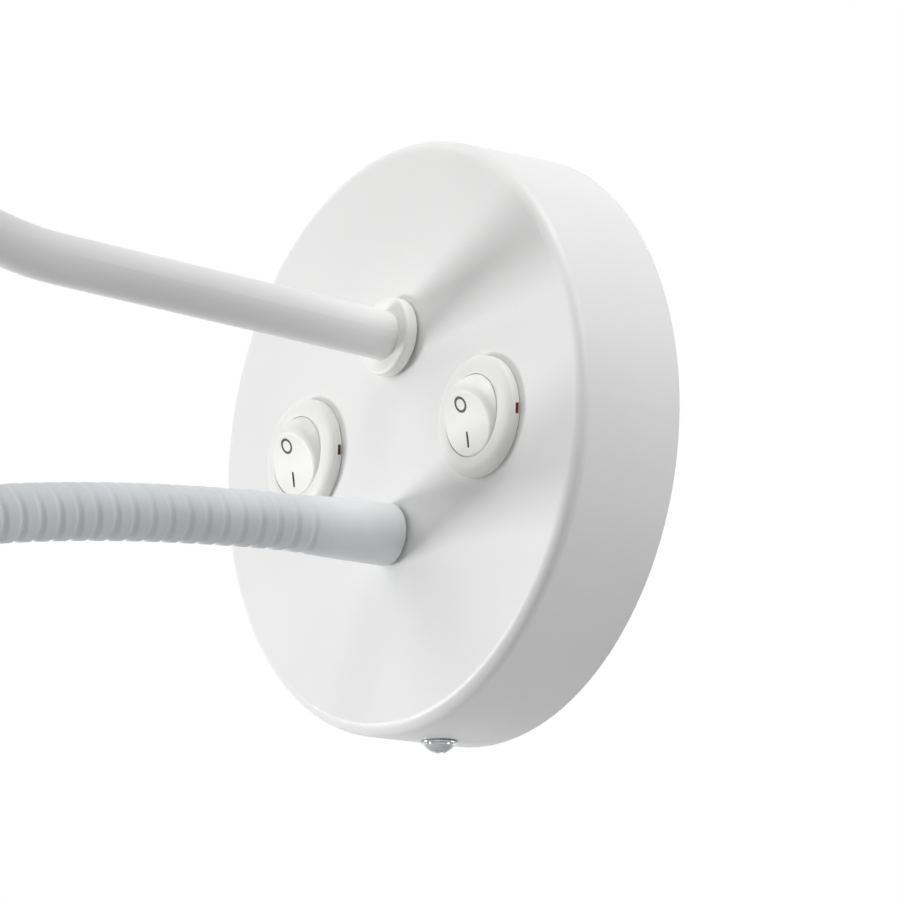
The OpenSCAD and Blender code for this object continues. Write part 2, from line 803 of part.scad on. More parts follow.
module neck_sleeve() {
    stud_seat = sleeve_len - sleeve_ribs * rib_pitch;
    color("white") outward() translate([0, -neck_drop, canopy_depth]) rotate_extrude() polygon([
        [stud_d / 2 + fit, 0],
        [sleeve_base_d / 2 - sleeve_chamfer, 0],
        [sleeve_base_d / 2, sleeve_chamfer],
        [sleeve_tip_d / 2, sleeve_len],
        [sleeve_bore_d / 2, sleeve_len],
        [sleeve_bore_d / 2, stud_seat],
        [stud_d / 2 + fit, stud_seat]
    ]);
}

module neck_stud() {
    color("silver") outward() translate([0, -neck_drop, canopy_depth - stud_tail])
        ring(stud_d, core_bore_d, stud_tail + sleeve_len - sleeve_ribs * rib_pitch);
}

module neck_washer() {
    color("silver") outward() translate([0, -neck_drop, canopy_in_h - neck_washer_t])
        ring(neck_washer_d, stud_d + 2 * fit, neck_washer_t);
}

module neck_nut() {
    color("silver") outward() translate([0, -neck_drop, canopy_in_h - neck_washer_t - neck_nut_t])
        hex_nut(neck_nut_af, stud_d + 2 * fit, neck_nut_t);
}

// A ribbed hose link: rings of points run out along the ribs and back through the bore
module neck_hose(i) {
    stations = hose_stations(i);
    last = len(stations) - 1;
    rings = concat(
        [for (j = [0 : last]) hose_ring(i, stations[j], hose_d / 2 - (j % 2 == 0 ? rib_depth : 0))],
        [for (j = [last : -1 : 0]) hose_ring(i, stations[j], hose_bore_d / 2)]
    );
    ring_count = len(rings);
    color("gainsboro") along_neck(i) polyhedron(
        points = [for (r = rings, p = r) p],
        faces = [for (m = [0 : ring_count - 1], k = [0 : hose_sides - 1], half = [0, 1]) let (
            next = (m + 1) % ring_count,
            side = (k + 1) % hose_sides,
            a = m * hose_sides + k,
            b = m * hose_sides + side,
            c = next * hose_sides + side,
            d = next * hose_sides + k
        ) half == 0 ? [a, c, b] : [a, d, c]]
    );
}

// A link of the wound steel core, short of the joint at each end
module neck_core(i) {
    bend_turn = link_turns[i];
    lead = link_lead(i);
    start = i == 0 ? 0 : core_gap / 2;
    end = i == link_count - 1 ? 0 : core_gap / 2;
    straight = bend_turn == 0 ? link_len(i) - end : lead;
    color("silver") along_neck(i) {
        if (straight > 0)
            translate([0, 0, start]) ring(core_d, core_bore_d, straight - start);
        if (bend_turn > 0) {
            bend_r = bend_len(i) / turn_rad(bend_turn);
            first_turn = lead > 0 ? 0 : bend_turn * start / bend_len(i);
            last_turn = bend_turn * (1 - end / bend_len(i));
            translate([0, -bend_r, lead]) rotate([90, 0, 90]) rotate([0, 0, first_turn])
                rotate_extrude(angle = last_turn - first_turn) translate([bend_r, 0]) difference() {
                    circle(d = core_d);
                    circle(d = core_bore_d);
                }
        }
    }
}

module at_head() {
    along_neck(link_count) children();
}

module head_ferrule() {
    cover = sleeve_ribs * rib_pitch;
    color("white") at_head() rotate_extrude() polygon([
        [core_bore_d / 2, 0],
        [sleeve_bore_d / 2, 0],
        [sleeve_bore_d / 2, -cover],
        [sleeve_tip_d / 2, -cover],
        [sleeve_base_d / 2, ferrule_plug],
        [ferrule_spigot_d / 2, ferrule_plug],
        [ferrule_spigot_d / 2, ferrule_plug + ferrule_spigot],
        [core_bore_d / 2, ferrule_plug + ferrule_spigot]
    ]);
}

module head_shell() {
    color("white") at_head() translate([0, 0, ferrule_plug]) difference() {
        translate([0, 0, head_len]) mirror([0, 0, 1]) cup(head_d / 2, head_len, head_edge_r);
        translate([0, 0, head_len + cut]) mirror([0, 0, 1])
            cup(head_in_r, head_len - head_back_t + cut, max(head_edge_r - head_wall, fit));
        translate([0, 0, -cut]) cylinder(d = ferrule_spigot_d + 2 * fit, h = head_back_t + 2 * cut);
    }
}

module heat_sink() {
    color("silver") at_head() difference() {
        union() {
            translate([0, 0, ferrule_plug + head_back_t]) cylinder(d = sink_neck_d, h = sink_start + cut);
            translate([0, 0, sink_h]) cylinder(r = head_in_r - sink_fit, h = sink_len);
        }
        translate([0, 0, ferrule_plug + head_back_t - cut])
            cylinder(d = ferrule_spigot_d + 2 * fit, h = ferrule_spigot - head_back_t + loose + cut);
        translate([0, 0, ferrule_plug]) cylinder(d = sink_wire_d, h = board_h - ferrule_plug + cut);
        for (k = [0 : sink_fins - 1])
            rotate([0, 0, 360 * k / sink_fins])
                translate([head_in_r - sink_fin_w, -sink_fin_w / 2, sink_h - cut])
                    cube([2 * sink_fin_w, sink_fin_w, sink_fin_depth + cut]);
    }
}

module led_board() {
    color("whitesmoke") at_head() translate([0, 0, board_h]) cylinder(d = board_d, h = board_t);
}

module led_chip() {
    color("gold") at_head() translate([0, 0, lens_h]) {
        translate([-chip_w / 2, -chip_w / 2, 0]) cube([chip_w, chip_w, chip_t]);
        intersection() {
            translate([0, 0, chip_t]) sphere(d = chip_dome_d);
            cylinder(d = chip_w, h = chip_dome_d);
        }
    }
}

module head_lens() {
    lens_top = bezel_h - bezel_depth;
    rim_r = head_in_r - sink_fit;
    color("lightcyan") at_head() rotate_extrude() polygon([
        [lens_pocket_d / 2, lens_h + fit],
        [lens_throat_d / 2, lens_h + fit],
        [rim_r, lens_top - lens_rim_t],
        [rim_r, lens_top],
        [0, lens_top],
        [0, lens_h + lens_pocket_h],
        [lens_pocket_d / 2, lens_h + lens_pocket_h]
    ]);
}

module head_bezel() {
    color("white") at_head() translate([0, 0, bezel_h]) difference() {
        union() {
            translate([0, 0, -bezel_depth]) cylinder(r = head_in_r - fit, h = bezel_depth + bezel_front_t);
            cylinder(d = head_d, h = bezel_front_t);
        }
        translate([0, 0, -bezel_depth - cut])
            cylinder(r = head_in_r - bezel_lip, h = bezel_depth + bezel_front_t + 2 * cut);
    }
}

wall_bracket();
earth_screw();
cable_grommet();
terminal_block();
terminal_screws();
led_driver();
canopy();
hanging_clip();
cover_screw();
switch_housing(-1);  // left_switch_housing
switch_housing(1);  // right_switch_housing
switch_terminals(-1);  // left_switch_terminals
switch_terminals(1);  // right_switch_terminals
rocker(-1);  // left_rocker
rocker(1);  // right_rocker
rocker_contact(-1);  // left_contact
rocker_contact(1);  // right_contact
arm_tube();
arm_nipple();
arm_collar();
arm_washer();
arm_nut();
holder_cap();
holder_body();
holder_shell();
holder_contact();
shade_clamp_ring();
shade_frame();
shade_top_ring();
shade_skin();
bulb_cap();
bulb_body();
bulb_globe();
neck_sleeve();
neck_stud();
neck_washer();
neck_nut();
neck_hose(0);  // neck_hose_1
neck_hose(1);  // neck_hose_2
neck_hose(2);  // neck_hose_3
neck_hose(3);  // neck_hose_4
neck_hose(4);  // neck_hose_5
neck_hose(5);  // neck_hose_6
neck_hose(6);  // neck_hose_7
neck_core(0);  // neck_core_1
neck_core(1);  // neck_core_2
neck_core(2);  // neck_core_3
neck_core(3);  // neck_core_4
neck_core(4);  // neck_core_5
neck_core(5);  // neck_core_6
neck_core(6);  // neck_core_7
head_ferrule();
head_shell();
heat_sink();
led_board();
led_chip();
head_lens();
head_bezel();
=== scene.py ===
import json
import math

import bmesh
import bpy
import numpy as np
from mathutils import Matrix, Vector


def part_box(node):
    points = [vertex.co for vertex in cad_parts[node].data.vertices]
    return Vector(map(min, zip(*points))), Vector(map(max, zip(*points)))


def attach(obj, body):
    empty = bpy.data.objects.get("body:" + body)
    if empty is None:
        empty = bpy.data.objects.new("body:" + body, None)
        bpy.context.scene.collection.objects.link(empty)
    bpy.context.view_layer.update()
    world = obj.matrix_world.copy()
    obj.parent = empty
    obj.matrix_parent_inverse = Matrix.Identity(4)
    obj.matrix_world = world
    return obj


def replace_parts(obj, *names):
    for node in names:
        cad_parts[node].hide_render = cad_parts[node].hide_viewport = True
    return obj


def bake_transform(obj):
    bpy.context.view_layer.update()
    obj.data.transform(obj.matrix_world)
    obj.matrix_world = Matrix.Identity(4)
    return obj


# Looks of a bedside wall light: a round white canopy with two rocker switches, a bent tube arm
# under a drum shade, and a sleeved flexible neck with a small reading head.
# The wall is the plane y = 0, the light stands out along -Y, +X is right and +Z is up.
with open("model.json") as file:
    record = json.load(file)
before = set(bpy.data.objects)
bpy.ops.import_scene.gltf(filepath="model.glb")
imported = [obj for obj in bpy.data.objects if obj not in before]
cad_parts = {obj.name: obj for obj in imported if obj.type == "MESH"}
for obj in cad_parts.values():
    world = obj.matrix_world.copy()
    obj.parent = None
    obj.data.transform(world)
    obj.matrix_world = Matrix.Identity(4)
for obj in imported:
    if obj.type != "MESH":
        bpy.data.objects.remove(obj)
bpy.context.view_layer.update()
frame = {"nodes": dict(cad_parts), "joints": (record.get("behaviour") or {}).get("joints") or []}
nodes = frame["nodes"]
joints = {joint["name"]: joint for joint in frame["joints"]}

# Sizes below are in millimetres, and points become metres as they go into a mesh
MM = 0.001
TURN = 2 * math.pi
COVER_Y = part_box("canopy")[0].y / MM
SIDES = ("left", "right")
PIVOTS = {side: np.array(joints[side + "_rocker_tilt"]["pos_m"]) / MM for side in SIDES}
# The neck's pale boot turns into the hose between these distances from the cover
BOOT_FADE = (15, 23)


# Helpers

def linear(hex_colour):
    """A colour written as sRGB hex, as linear red, green, blue and alpha."""
    srgb = np.array([int(hex_colour[k:k + 2], 16) for k in (1, 3, 5)]) / 255
    return (*np.where(srgb <= 0.04045, srgb / 12.92, ((srgb + 0.055) / 1.055) ** 2.4), 1.0)


def add(tree, kind, inputs=(), **settings):
    """Adds a node. Inputs map a socket to a value, or to the socket that feeds it."""
    node = tree.nodes.new(kind)
    for name, value in settings.items():
        setattr(node, name, value)
    for socket, value in dict(inputs).items():
        if isinstance(value, bpy.types.NodeSocket):
            tree.links.new(value, node.inputs[socket])
        else:
            node.inputs[socket].default_value = value
    return node


def per_mm(size):
    """Texture scale, on coordinates in metres, of a pattern with cells of a size in mm."""
    return 1 / (size * MM)


def shader(name, sockets):
    """A material with one Principled shader: the material, its tree, shader and coordinates."""
    material = bpy.data.materials.new(name)
    material.use_nodes = True
    tree = material.node_tree
    surface = tree.nodes["Principled BSDF"]
    for socket, value in sockets.items():
        surface.inputs[socket].default_value = value
    coordinates = add(tree, "ShaderNodeTexCoord").outputs["Object"]
    return material, tree, surface, coordinates


def grain(tree, surface, coordinates, size, height, detail=2.0):
    """Gives a surface an even texture: noise cells of a size and a height in millimetres."""
    noise = add(tree, "ShaderNodeTexNoise",
                {"Vector": coordinates, "Scale": per_mm(size), "Detail": detail})
    bump = add(tree, "ShaderNodeBump",
               {"Height": noise.outputs["Fac"], "Distance": height * MM, "Strength": 1.0})
    tree.links.new(bump.outputs["Normal"], surface.inputs["Normal"])
    return noise.outputs["Fac"]


def ramp(tree, value, low, high, span=(0.3, 0.7)):
    """Colour at a value: low up to the span's start, high from its end, even between them."""
    node = add(tree, "ShaderNodeValToRGB", {"Fac": value})
    for element, position, colour in zip(node.color_ramp.elements, span, (low, high)):
        element.position = position
        element.color = colour
    return node.outputs["Color"]


def grey(value):
    """A linear grey, as red, green, blue and alpha."""
    return (value, value, value, 1.0)


# Materials

# Width of the soft clouds of tone in a plastic, and a metal's range of roughness as shares
CLOUD = 9
ROUGH_LEAST, ROUGH_MOST = 0.8, 1.25


def white_powder_coat():
    """Fine white powder coat on steel: satin, a faint orange peel, now and then a dust speck."""
    material, tree, surface, coordinates = shader("white_powder_coat", {
        "Specular IOR Level": 0.35})
    peel = grain(tree, surface, coordinates, size=1.1, height=0.002)
    tree.links.new(ramp(tree, peel, grey(0.35), grey(0.39)), surface.inputs["Roughness"])
    cloud = add(tree, "ShaderNodeTexNoise", {"Vector": coordinates, "Scale": per_mm(35)})
    coat = ramp(tree, cloud.outputs["Fac"], linear("#EAEAEA"), linear("#EEEEEE"))
    # Specks up to 0.4 mm wide, about one to a hundred square centimetres
    cell, reach, strength = 18, 0.012, 0.2
    cells = add(tree, "ShaderNodeTexVoronoi", {"Vector": coordinates, "Scale": per_mm(cell)})
    speck = add(tree, "ShaderNodeMath", {0: cells.outputs["Distance"], 1: reach},
                operation="LESS_THAN")
    faint = add(tree, "ShaderNodeMath", {0: speck.outputs[0], 1: strength}, operation="MULTIPLY")
    dusty = add(tree, "ShaderNodeMix", {0: faint.outputs[0], 6: coat, 7: linear("#8E8A84")},
                data_type="RGBA")
    tree.links.new(dusty.outputs[2], surface.inputs["Base Color"])
    return material


def moulded(name, low, high, roughness, texture=0.5, height=0.002, **sockets):
    """A moulded plastic or rubber: nearly one colour, with the fine texture of its mould."""
    material, tree, surface, coordinates = shader(name, {"Roughness": roughness, **sockets})
    grain(tree, surface, coordinates, texture, height)
    cloud = add(tree, "ShaderNodeTexNoise", {"Vector": coordinates, "Scale": per_mm(CLOUD)})
    tone = ramp(tree, cloud.outputs["Fac"], linear(low), linear(high))
    tree.links.new(tone, surface.inputs["Base Color"])
    return material


def plated(name, low, high, roughness, flake, height=0.001):
    """A metal, plain or plated: soft patches of tone, finely uneven roughness."""
    material, tree, surface, coordinates = shader(name, {"Metallic": 1.0})
    patch = add(tree, "ShaderNodeTexVoronoi", {"Vector": coordinates, "Scale": per_mm(flake)})
    tone = add(tree, "ShaderNodeSeparateColor", {0: patch.outputs["Color"]})
    colour = ramp(tree, tone.outputs[0], linear(low), linear(high))
    tree.links.new(colour, surface.inputs["Base Color"])
    rough = grain(tree, surface, coordinates, size=0.4, height=height)
    spread = ramp(tree, rough, grey(roughness * ROUGH_LEAST), grey(roughness * ROUGH_MOST))
    tree.links.new(spread, surface.inputs["Roughness"])
    return material


def shade_linen():
    """White linen-look weave glued to a liner: threads over and under, with thicker slubs."""
    material, tree, surface, coordinates = shader("shade_linen", {
        "Roughness": 0.9, "Sheen Weight": 0.25, "Sheen Roughness": 0.5})
    # The real thread spacing of 0.4 mm is too fine to show, so it is drawn at 1 mm
    thread = 1.0
    low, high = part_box("shade_skin")
    radius = (high.x - low.x) / 2
    middle = add(tree, "ShaderNodeMapping",
                 {"Vector": coordinates, "Location": tuple(-c for c in (low + high) / 2)})
    part = add(tree, "ShaderNodeSeparateXYZ", {0: middle.outputs[0]})
    angle = add(tree, "ShaderNodeMath", {0: part.outputs["Y"], 1: part.outputs["X"]},
                operation="ARCTAN2")
    round_way = add(tree, "ShaderNodeMath", {0: angle.outputs[0], 1: radius}, operation="MULTIPLY")
    flat = add(tree, "ShaderNodeCombineXYZ", {0: round_way.outputs[0], 1: part.outputs["Z"]})
    # At scale 1 a wave texture has about 3.18 bands to a unit of length
    bands = 3.18
    wave = []
    for way in ("X", "Y"):
        wave.append(add(tree, "ShaderNodeTexWave", {
            "Vector": flat.outputs[0], "Scale": per_mm(thread) / bands, "Distortion": 0.6,
            "Detail": 1.0, "Detail Scale": 0.4}, bands_direction=way).outputs["Fac"])
    weave = add(tree, "ShaderNodeMath", {0: wave[0], 1: wave[1]}, operation="MAXIMUM")
    slub = add(tree, "ShaderNodeMapping", {"Vector": flat.outputs[0], "Scale": (0.08, 1.0, 1.0)})
    streak = add(tree, "ShaderNodeTexNoise", {"Vector": slub.outputs[0], "Scale": per_mm(1.6)})
    tone = add(tree, "ShaderNodeMath", {0: weave.outputs[0], 1: streak.outputs["Fac"]},
               operation="MULTIPLY")
    tree.links.new(ramp(tree, tone.outputs[0], linear("#E2DED5"), linear("#F0EDE6")),
                   surface.inputs["Base Color"])
    bump = add(tree, "ShaderNodeBump",
               {"Height": tone.outputs[0], "Distance": 0.08 * MM, "Strength": 1.0})
    tree.links.new(bump.outputs["Normal"], surface.inputs["Normal"])
    return material


def clear_lens():
    """Clear moulded polycarbonate of the reading lens, faintly uneven from its mould."""
    material, tree, surface, coordinates = shader("clear_polycarbonate", {
        "Base Color": linear("#F4F8FA"), "Roughness": 0.05, "IOR": 1.58,
        "Transmission Weight": 0.9})
    grain(tree, surface, coordinates, size=2.0, height=0.01)
    return material


def neck_silicone():
    """Soft silicone over the neck: a paler moulded boot at the cover, thinning into the hose."""
    material, tree, surface, coordinates = shader("pale_silicone", {
        "Roughness": 0.5, "Specular IOR Level": 0.2})
    grain(tree, surface, coordinates, size=0.9, height=0.004)
    cloud = add(tree, "ShaderNodeTexNoise", {"Vector": coordinates, "Scale": per_mm(CLOUD)})
    hose = ramp(tree, cloud.outputs["Fac"], linear("#D7DADD"), linear("#DDE0E2"))
    boot = ramp(tree, cloud.outputs["Fac"], linear("#E1E3E4"), linear("#E7E9EA"))
    place = add(tree, "ShaderNodeSeparateXYZ", {0: coordinates})
    near = add(tree, "ShaderNodeMapRange", {
        "Value": place.outputs["Y"], "From Min": (COVER_Y - BOOT_FADE[1]) * MM,
        "From Max": (COVER_Y - BOOT_FADE[0]) * MM})
    tone = add(tree, "ShaderNodeMix", {0: near.outputs[0], 6: hose, 7: boot}, data_type="RGBA")
    tree.links.new(tone.outputs[2], surface.inputs["Base Color"])
    return material


FINISH = {
    "white_coat": white_powder_coat(),
    "bracket_steel": plated("zinc_plated_sheet", "#A9ADB0", "#C3C6C8", 0.38, flake=3.0),
    "steel": plated("zinc_plated_steel", "#9C9FA2", "#B4B7B9", 0.35, flake=1.5),
    "zinc_screw": plated("zinc_plated_screw", "#B2B4B6", "#CACBCC", 0.28, flake=0.8),
    "chrome": plated("polished_chrome", "#B4B6B9", "#C0C2C4", 0.1, flake=4.0, height=0.0003),
    "brass": plated("plain_brass", "#B9924A", "#CFA95E", 0.3, flake=1.2),
    "lamp_cap": plated("rolled_aluminium", "#B9BABB", "#CDCECF", 0.3, flake=1.0),
    "heat_sink": plated("plain_aluminium", "#B4B6B8", "#C6C8CA", 0.4, flake=1.2),
    "switch_plastic": moulded("white_abs_satin", "#E8E8E6", "#ECECEA", 0.46, IOR=1.53),
    "collar_plastic": moulded("white_abs_collar", "#EDEDEB", "#F1F1EF", 0.4),
    "holder_plastic": moulded("white_pbt", "#E9E9E5", "#EFEFEB", 0.42),
    "lamp_body": moulded("white_lamp_plastic", "#EEEEEC", "#F3F3F1", 0.45),
    "driver_plastic": moulded("pale_grey_abs", "#D4D4D3", "#DCDCDB", 0.5,
                              texture=0.9, height=0.012),
    "nylon": moulded("natural_nylon", "#E2E2DD", "#EBEBE6", 0.4),
    "rubber": moulded("black_rubber", "#1B1B1C", "#262627", 0.7, texture=0.8, height=0.01),
    "hose_sleeve": neck_silicone(),
    "opal": moulded("opal_diffuser", "#F3F1EA", "#F7F5EF", 0.35),
    "circuit_board": moulded("white_solder_mask", "#E6E8E6", "#EFF1EF", 0.35),
    "phosphor": moulded("yellow_phosphor", "#E8C840", "#F0D654", 0.4),
    "clear_lens": clear_lens(),
    "shade_fabric": shade_linen(),
}
MARK_INK = moulded("dark_grey_ink", "#222326", "#2A2B2E", 0.55)
# Dark bronze of the spring clips, partly the clip's own colour and partly painted shade inside the
# switch notches
CLIP_BRONZE_AND_SHADE = plated("bronze_spring_painted_shade", "#5C3C28", "#7A523A", 0.5, flake=0.6)
SHADE_LINER = moulded("white_pvc_film", "#F0EFEA", "#F5F4F0", 0.4, texture=1.5)

for node in nodes.values():
    for place, old in enumerate(node.data.materials):
        node.data.materials[place] = FINISH[old.name]


# Surfaces

# Points nearer to each other than this are one point, at poles and seams
WELD = 0.0005


def skin(name, points, finish, loop_rows=True, sharp=40):
    """A closed piece from a grid of points in millimetres; its columns always join up."""
    rows, columns = points.shape[:2]
    index = np.arange(rows * columns).reshape(rows, columns)
    here = index if loop_rows else index[:-1]
    down = np.roll(index, -1, 0) if loop_rows else index[1:]
    quads = np.stack([here, np.roll(here, -1, 1), np.roll(down, -1, 1), down], -1).reshape(-1, 4)
    mesh = bpy.data.meshes.new(name)
    mesh.from_pydata((points * MM).reshape(-1, 3), [], quads, shade_flat=False)
    solid = bmesh.new()
    solid.from_mesh(mesh)
    bmesh.ops.remove_doubles(solid, verts=solid.verts, dist=WELD * MM)
    bmesh.ops.recalc_face_normals(solid, faces=solid.faces)
    solid.to_mesh(mesh)
    solid.free()
    mesh.set_sharp_from_angle(angle=math.radians(sharp))
    mesh.materials.append(finish)
    piece = bpy.data.objects.new(name, mesh)
    bpy.context.scene.collection.objects.link(piece)
    return piece


def ease(x, start, end):
    """A smooth step: 0 up to start, 1 from end, and 3t squared less 2t cubed between them."""
    t = np.clip((x - start) / (end - start), 0, 1)
    return t * t * (3 - 2 * t)


def bezier(a, b, c, count):
    """Points of the curve that leaves a towards b and comes into c from b."""
    t = np.linspace(0, 1, count)[:, None]
    return (1 - t) ** 2 * np.array(a) + 2 * t * (1 - t) * np.array(b) + t ** 2 * np.array(c)


def turned(r, h, origin, axis, across):
    """Points at radii r and heights h, grids of rows by columns, round an axis through origin."""
    angle = np.arange(r.shape[1]) * TURN / r.shape[1]
    round_way = (np.cos(angle)[:, None] * np.array(across)
                 + np.sin(angle)[:, None] * np.cross(axis, across))
    return np.array(origin) + r[..., None] * round_way + h[..., None] * np.array(axis)


def spun(profile, columns):
    """A profile of radius and height, repeated at every column of a turned grid."""
    r, h = np.repeat(np.array(profile)[:, None], columns, 1).transpose(2, 0, 1)
    return r, h


# Flexible neck

# Length along the neck is measured from the cover, and each link bends evenly by its own turn
SLEEVE_LEN = 21.5
FIRST_LINK = 16.8
LINK_LEN = 33.6
LINK_TURNS = (3, 3.7, 5, 13, 14.5, 13, 0)
NECK_STOPS = np.cumsum([0, SLEEVE_LEN, FIRST_LINK] + [LINK_LEN] * 6)
NECK_SLOPES = np.radians(np.cumsum((0, 0) + LINK_TURNS))
NECK_Z = -20.0
NECK_SAG, SAG_GROWS, SAG_FADES = 0.5, (0, 42), (100, 200)
# The wound groove: its pitch, where it starts and grows, its depth at the sides, the share of it
# that is added below and taken off above, and the widths of its near and far walls
GROOVE_PITCH, GROOVE_START, GROOVE_GROWS = 4.206, 22.35, (17.5, 25.0)
GROOVE_DEPTH, GROOVE_BELOW = 0.4, 0.7
GROOVE_NEAR, GROOVE_FAR = 1.2, 0.95
# Length and radius pairs of the sleeve and hose, eased over a length to each side
NECK_RADII = ((0, 6.33), (13, 6.1), (17, 5.96), (22, 5.68), (28, 5.61), (240, 5.61))
RADII_EASE, EASE_SAMPLES = 2, 9
BASE_GAP, BASE_ROUND = 0.65, 0.6
NECK_BORE, BORE_ROWS = 4.6, 24
NECK_STEP, NECK_COLUMNS, NECK_SAMPLES = 0.15, 112, 4000


def neck_line(s):
    """Middle line at lengths s: sums of cosine and sine of an even slope, less a slight sag."""
    fine = np.linspace(0, NECK_STOPS[-1], NECK_SAMPLES)
    slope = np.interp(fine, NECK_STOPS, NECK_SLOPES)
    step = fine[1] - fine[0]
    out = np.cumsum(np.cos(slope)) * step - step * np.cos(slope[0])
    down = np.cumsum(np.sin(slope)) * step - step * np.sin(slope[0])
    y = COVER_Y - np.interp(s, fine, out)
    sag = NECK_SAG * (ease(s, *SAG_GROWS) - ease(s, *SAG_FADES))
    z = NECK_Z - np.interp(s, fine, down) - sag
    return y, z, np.interp(s, NECK_STOPS, NECK_SLOPES)


def neck_rings(s, radius):
    """Rings of points about the middle line, each square to it; radius is a grid of s by angle."""
    y, z, slope = (v[:, None] for v in neck_line(s))
    angle = np.arange(NECK_COLUMNS) * TURN / NECK_COLUMNS
    x = radius * np.cos(angle)
    up = radius * np.sin(angle)
    return np.stack([x, y - up * np.sin(slope), z + up * np.cos(slope)], -1)


def neck_radius(s):
    """Sleeve radius that eases into the hose, less a wound groove: two half cosines, one wider.

    The bend squeezes the turns together on its inside, so the groove is deeper below than above.
    """
    at, size = np.array(NECK_RADII).T
    shifts = np.linspace(-RADII_EASE, RADII_EASE, EASE_SAMPLES)
    plain = sum(np.interp(s + shift, at, size) for shift in shifts) / len(shifts)
    short = np.clip(BASE_GAP + BASE_ROUND - s, 0, BASE_ROUND)
    plain = plain - BASE_ROUND + np.sqrt(BASE_ROUND ** 2 - short ** 2)
    angle = np.arange(NECK_COLUMNS) / NECK_COLUMNS
    along = (s[:, None] - GROOVE_START) / GROOVE_PITCH - angle
    off = (along - np.floor(along + 0.5)) * GROOVE_PITCH
    reach = np.clip(np.where(off < 0, -off / GROOVE_NEAR, off / GROOVE_FAR), 0, 1)
    below = 1 - GROOVE_BELOW * np.sin(TURN * angle)
    depth = GROOVE_DEPTH * ease(s, *GROOVE_GROWS)[:, None] * below
    return plain[:, None] - depth * (0.5 + 0.5 * np.cos(math.pi * reach))


def neck_skin(name, start, end):
    """One stretch of the neck: out along its grooved skin and back through a plain bore."""
    s = np.linspace(start, end, round((end - start) / NECK_STEP))
    back = np.linspace(end, start, BORE_ROWS)
    outer = neck_rings(s, neck_radius(s))
    inner = neck_rings(back, np.full((BORE_ROWS, NECK_COLUMNS), NECK_BORE))
    piece = skin(name, np.concatenate([outer, inner]), FINISH["hose_sleeve"], sharp=60)
    return piece


neck_bodies = ["base", "neck_2", "neck_3", "neck_4", "neck_5", "neck_6", "reading_head"]
neck_joints = NECK_STOPS[2:-1]
neck_middles = (neck_joints[:-1] + neck_joints[1:]) / 2
neck_cuts = [BASE_GAP, *neck_middles, NECK_STOPS[-1]]
for k in range(len(neck_bodies) - 1):
    hose = neck_skin(f"neck_skin_{k + 1}", neck_cuts[k], neck_cuts[k + 1])
    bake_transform(hose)
    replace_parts(hose, *(["neck_sleeve", "neck_hose_1"] if k == 0 else []), f"neck_hose_{k + 2}")


# Switches

# A rocker is a ball about its pivot, cut by a finger face that is hollow like a trough
ROCKER_R, ROCKER_FACE, ROCKER_SKIRT = 8.94, 5.8, 1.21
DISH_R, DISH_DEPTH = 30.0, 0.7
ROCKER_TILT = math.radians(16)
STEM_R, STEM_DROP = 5.9, 1.5
# The face's edge is rounded less at the pressed tip; it changes between two sines of the angle
ROCKER_EDGE, ROCKER_TIP_EDGE, TIP_REACH = 1.2, 0.5, (-0.7, 0.2)
EDGE_GUESS, EDGE_ROUNDS = 7.0, 40
FACE_ROWS, EDGE_ROWS, SIDE_ROWS, ROCKER_COLUMNS = 14, 9, 16, 144
# The ink of the marks stands out of the face and sinks in, and both marks sit to one side
MARK_LIFT, MARK_SINK, MARK_SIDE = 0.02, 0.06, -0.6
ZERO_AT, ZERO_ACROSS, ZERO_UP, ZERO_STROKE, ZERO_COLUMNS = 3.5, 1.5, 1.38, 0.55, 64
ONE_AT, ONE_LEN, ONE_STROKE, ONE_COLUMNS = -3.45, 3.2, 0.55, 32


def dish(y):
    """Height of the hollow finger face above the pivot: a shallow groove of one radius across."""
    hollow = ROCKER_FACE - DISH_DEPTH + DISH_R - np.sqrt(DISH_R ** 2 - y ** 2)
    return np.minimum(ROCKER_FACE, hollow)


def on_rocker(side, x, y, z):
    """Points given across, up and out from a rocker's pivot, leaned to its pressed end."""
    up = y * math.cos(ROCKER_TILT) - z * math.sin(ROCKER_TILT)
    out = y * math.sin(ROCKER_TILT) + z * math.cos(ROCKER_TILT)
    return PIVOTS[side] + np.stack([x, -out, up], -1)


